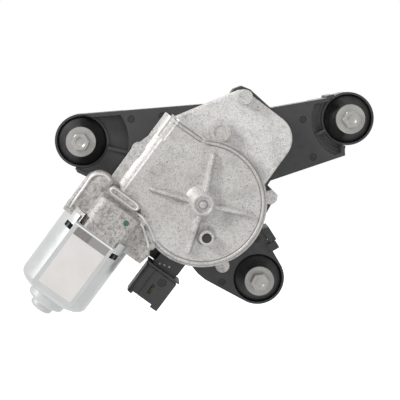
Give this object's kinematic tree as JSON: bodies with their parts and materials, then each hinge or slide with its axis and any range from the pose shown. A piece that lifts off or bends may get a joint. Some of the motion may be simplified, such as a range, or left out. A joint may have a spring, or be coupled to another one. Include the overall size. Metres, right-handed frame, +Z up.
{
  "type": "wiper motor",
  "caption": "Rear wiper motor: a flat-sided electric motor drives a worm gear and toothed-segment linkage in a die-cast case on a three-point plastic bracket, swinging its output shaft.",
  "frame": {"origin": "on the output shaft's axis, where the shaft leaves its bearing tube", "axes": "+Y out along the output shaft toward its threaded end, +X from the left to the right upper mount, +Z up, away from the bottom mount"},
  "size_m": [0.222, 0.084, 0.136],
  "materials": {
    "cast_aluminium": "as-cast, satin",
    "black_nylon": "moulded, fine texture",
    "black_rubber": "matt",
    "gasket_rubber": "matt",
    "zinc_steel": "zinc plated, satin",
    "can_steel": "zinc plated, satin",
    "bright_steel": "ground",
    "core_steel": "laminated, dull",
    "gear_plastic": "moulded, natural white",
    "copper": "enamelled or bare copper",
    "brass": "stamped",
    "bronze": "sintered, oiled",
    "ferrite": "dull",
    "carbon": "dull",
    "brown_resin": "moulded phenolic",
    "vent_fabric": "woven"
  },
  "bodies": {
    "casing": {"gear_housing": "cast_aluminium", "housing_gasket": "gasket_rubber", "vent_plug": "vent_fabric", "cover_bracket": "black_nylon", "housing_screws": "zinc_steel", "wheel_axle": "bright_steel", "axle_washer": "bright_steel", "pilot_bush": "bronze", "output_bush": "bronze", "shaft_seal": "gasket_rubber", "thrust_washer": "bright_steel", "grommet_left": "black_rubber", "grommet_right": "black_rubber", "grommet_bottom": "black_rubber", "sleeve_left": "zinc_steel", "sleeve_right": "zinc_steel", "sleeve_bottom": "zinc_steel", "mount_bolt_left": "zinc_steel", "mount_bolt_right": "zinc_steel", "mount_bolt_bottom": "zinc_steel", "mount_washers": "zinc_steel", "motor_can": "can_steel", "field_magnets": "ferrite", "end_bearing": "bronze", "bearing_retainer": "bright_steel", "thrust_button": "gear_plastic", "worm_bearing": "bronze", "worm_end_bush": "bronze", "worm_end_pad": "gear_plastic", "brush_plate": "brown_resin", "brush_boxes": "brass", "carbon_brushes": "carbon", "chokes": "copper", "suppression_capacitor": "brown_resin", "thermal_breaker": "brass", "connector_header": "black_nylon", "connector_blades": "brass", "contact_fingers": "brass"},
    "armature": {"armature_shaft": "bright_steel", "armature_core": "core_steel", "armature_windings": "copper", "commutator": "copper"},
    "wheel": {"worm_wheel": "gear_plastic", "crank_plate": "bright_steel", "contact_ring": "brass"},
    "wiper_shaft": {"output_shaft": "bright_steel", "output_pinion": "bright_steel", "shaft_retaining_ring": "bright_steel"},
    "rocker": {"rocker_link": "bright_steel", "segment_pivot": "bright_steel"},
    "segment": {"segment_lever": "bright_steel", "crank_pin": "bright_steel"}
  },
  "joints": [
    {"name": "armature_spin", "type": "hinge", "parent": "casing", "child": "armature", "pos_m": [-0.04396, -0.04, -0.0147], "axis": [0.6626, 0, 0.749], "continuous": true},
    {"name": "wheel_spin", "type": "hinge", "parent": "casing", "child": "wheel", "pos_m": [-0.014, -0.04, -0.0412], "axis": [0, -1, 0], "continuous": true},
    {"name": "wiper_sweep", "type": "hinge", "parent": "casing", "child": "wiper_shaft", "pos_m": [0, 0, 0], "axis": [0, -1, 0], "range_deg": [0, 164.89]},
    {"name": "rocker_swing", "type": "hinge", "parent": "casing", "child": "rocker", "pos_m": [0, -0.0301, 0], "axis": [0, -1, 0], "range_deg": [0, 60.5]},
    {"name": "segment_turn", "type": "hinge", "parent": "rocker", "child": "segment", "pos_m": [0.01152, -0.033, -0.02077], "axis": [0, -1, 0], "range_deg": [-61.8, 0]}
  ],
  "couplings": [
    {"joint": "wheel_spin", "follows": "armature_spin", "ratio": 0.016667},
    {"joint": "rocker_swing", "follows": "wiper_sweep", "ratio": 0.36354},
    {"joint": "segment_turn", "follows": "wiper_sweep", "ratio": -0.37127}
  ]
}
